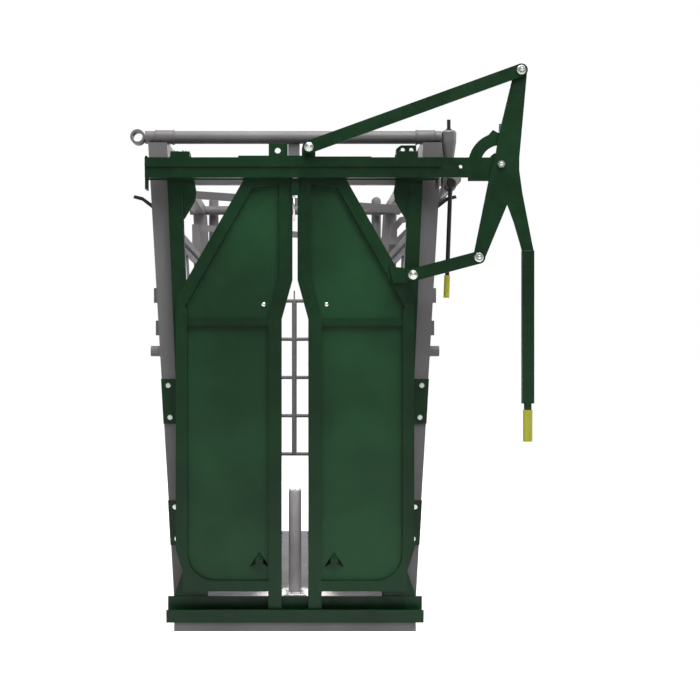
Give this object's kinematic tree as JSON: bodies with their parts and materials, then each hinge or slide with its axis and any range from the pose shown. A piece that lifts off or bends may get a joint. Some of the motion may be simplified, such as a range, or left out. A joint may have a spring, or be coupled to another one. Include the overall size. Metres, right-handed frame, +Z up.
{
  "type": "cattle squeeze chute",
  "caption": "Steel cattle squeeze chute with sliding head-gate doors worked by a hand lever, hinged squeeze sides with drop gates and a swinging barred tailgate.",
  "frame": {"origin": "on the ground, midway between the two doors and midway along the chute, at the underside of the centre cross-member", "axes": "+Z up, -Y towards the head gate (the front), +X towards the hand lever"},
  "size_m": [1.61, 2.55, 2.2398],
  "materials": {
    "green_enamel": "gloss enamel",
    "grey_enamel": "satin enamel",
    "zinc": "bright zinc plate",
    "black_parts": "black paint",
    "shoe_plastic": "moulded wear plastic",
    "lime_grip": "moulded vinyl grip"
  },
  "bodies": {
    "frame": {"base_frame": "grey_enamel", "floor_deck": "grey_enamel", "front_post_left": "grey_enamel", "front_post_right": "grey_enamel", "rear_post_left": "grey_enamel", "rear_post_right": "grey_enamel", "top_tube": "grey_enamel", "ring_sleeve": "grey_enamel", "drop_sleeve": "grey_enamel", "drop_pin": "black_parts", "top_rail_left": "grey_enamel", "top_rail_right": "grey_enamel", "rear_cross_tube": "grey_enamel", "front_cross_tube": "grey_enamel", "tailgate_posts": "grey_enamel", "tailgate_sill": "grey_enamel", "brisket_post": "grey_enamel", "brisket_bolts": "zinc", "gate_beam": "green_enamel", "gate_rear_rail": "green_enamel", "lever_mount": "green_enamel", "gate_post_left": "green_enamel", "gate_post_right": "green_enamel", "foot_trough": "green_enamel", "side_brackets": "green_enamel", "bracket_bolts": "zinc", "beam_bridges": "green_enamel", "shaft_bearings": "grey_enamel", "lever_pivot_bolt": "zinc", "hinge_pins": "zinc"},
    "left_door": {"left_door_frame": "green_enamel", "left_door_sheet": "green_enamel", "left_door_bar": "green_enamel", "left_door_shoes": "shoe_plastic"},
    "right_door": {"right_door_frame": "green_enamel", "right_door_sheet": "green_enamel", "right_door_bar": "green_enamel", "right_door_shoes": "shoe_plastic"},
    "lever": {"lever_plate": "green_enamel", "hand_lever": "green_enamel", "lever_grip": "lime_grip", "lock_keeper": "green_enamel", "link_bolts": "zinc"},
    "long_link": {"long_link": "green_enamel"},
    "short_link": {"short_link": "green_enamel"},
    "squeeze_gear": {"squeeze_shaft": "grey_enamel", "squeeze_handle": "black_parts", "squeeze_grip": "lime_grip"},
    "cross_links": {"cross_links": "grey_enamel"},
    "push_links": {"push_links": "grey_enamel"},
    "left_side": {"side_frame_left": "grey_enamel", "side_sheet_left": "grey_enamel"},
    "right_side": {"side_frame_right": "grey_enamel", "side_sheet_right": "grey_enamel"},
    "left_gate": {"drop_gate_left": "grey_enamel"},
    "right_gate": {"drop_gate_right": "grey_enamel"},
    "left_latch": {"gate_latch_left": "black_parts"},
    "right_latch": {"gate_latch_right": "black_parts"},
    "tailgate": {"tailgate": "grey_enamel"},
    "tailgate_bolt": {"tailgate_latch": "zinc"}
  },
  "joints": [
    {"name": "lever_swing", "type": "hinge", "parent": "frame", "child": "lever", "pos_m": [0.812, -1.279, 1.844], "axis": [0, -1, 0], "range_deg": [0, 50]},
    {"name": "left_door_slide", "type": "slide", "parent": "frame", "child": "left_door", "axis": [-1, 0, 0], "range_m": [0, 0.334]},
    {"name": "right_door_slide", "type": "slide", "parent": "frame", "child": "right_door", "axis": [1, 0, 0], "range_m": [0, 0.339]},
    {"name": "long_link_pin", "type": "hinge", "parent": "lever", "child": "long_link", "pos_m": [0.88994, -1.279, 2.21388], "axis": [0, 1, 0], "range_deg": [0, 54.9]},
    {"name": "short_link_pin", "type": "hinge", "parent": "lever", "child": "short_link", "pos_m": [0.72312, -1.279, 1.4766], "axis": [0, 1, 0], "range_deg": [0, 35.4]},
    {"name": "squeeze_turn", "type": "hinge", "parent": "frame", "child": "squeeze_gear", "pos_m": [0.64, -0.7, 1.8], "axis": [0, -1, 0], "range_deg": [0, 90]},
    {"name": "left_side_squeeze", "type": "hinge", "parent": "frame", "child": "left_side", "pos_m": [-0.45129, 0, 0.11], "axis": [0, 1, 0], "range_deg": [0, 4.8]},
    {"name": "right_side_squeeze", "type": "hinge", "parent": "frame", "child": "right_side", "pos_m": [0.45129, 0, 0.11], "axis": [0, -1, 0], "range_deg": [0, 4.8]},
    {"name": "cross_link_pin", "type": "hinge", "parent": "squeeze_gear", "child": "cross_links", "pos_m": [0.56929, -0.7, 1.72929], "axis": [0, 1, 0], "range_deg": [0, 90.2]},
    {"name": "push_link_pin", "type": "hinge", "parent": "squeeze_gear", "child": "push_links", "pos_m": [0.71071, -0.7, 1.87071], "axis": [0, 1, 0], "range_deg": [0, 90.8]},
    {"name": "left_gate_drop", "type": "hinge", "parent": "left_side", "child": "left_gate", "pos_m": [-0.52804, 0, 0.83881], "axis": [0, -1, 0], "range_deg": [0, 165]},
    {"name": "right_gate_drop", "type": "hinge", "parent": "right_side", "child": "right_gate", "pos_m": [0.52804, 0, 0.83881], "axis": [0, 1, 0], "range_deg": [0, 165]},
    {"name": "left_latch_turn", "type": "hinge", "parent": "left_side", "child": "left_latch", "pos_m": [-0.55874, -1.049, 1.56824], "axis": [-0.9984, 0, -0.0571], "range_deg": [0, 90]},
    {"name": "right_latch_turn", "type": "hinge", "parent": "right_side", "child": "right_latch", "pos_m": [0.55874, -1.049, 1.56824], "axis": [-0.9984, 0, 0.0571], "range_deg": [0, 90]},
    {"name": "tailgate_swing", "type": "hinge", "parent": "frame", "child": "tailgate", "pos_m": [-0.434, 1.18, 0.8], "axis": [0, 0, 1], "range_deg": [0, 105]},
    {"name": "tailgate_bolt_slide", "type": "slide", "parent": "tailgate", "child": "tailgate_bolt", "axis": [1, 0, 0], "range_m": [0, 0.045]}
  ],
  "couplings": [
    {"joint": "left_door_slide", "follows": "lever_swing", "m_per_rad": 0.38271},
    {"joint": "right_door_slide", "follows": "lever_swing", "m_per_rad": 0.38833},
    {"joint": "long_link_pin", "follows": "lever_swing", "ratio": 1.0979},
    {"joint": "short_link_pin", "follows": "lever_swing", "ratio": 0.70775},
    {"joint": "left_side_squeeze", "follows": "squeeze_turn", "ratio": 0.05304},
    {"joint": "right_side_squeeze", "follows": "squeeze_turn", "ratio": 0.053294},
    {"joint": "cross_link_pin", "follows": "squeeze_turn", "ratio": 1.0012},
    {"joint": "push_link_pin", "follows": "squeeze_turn", "ratio": 1.0085}
  ]
}
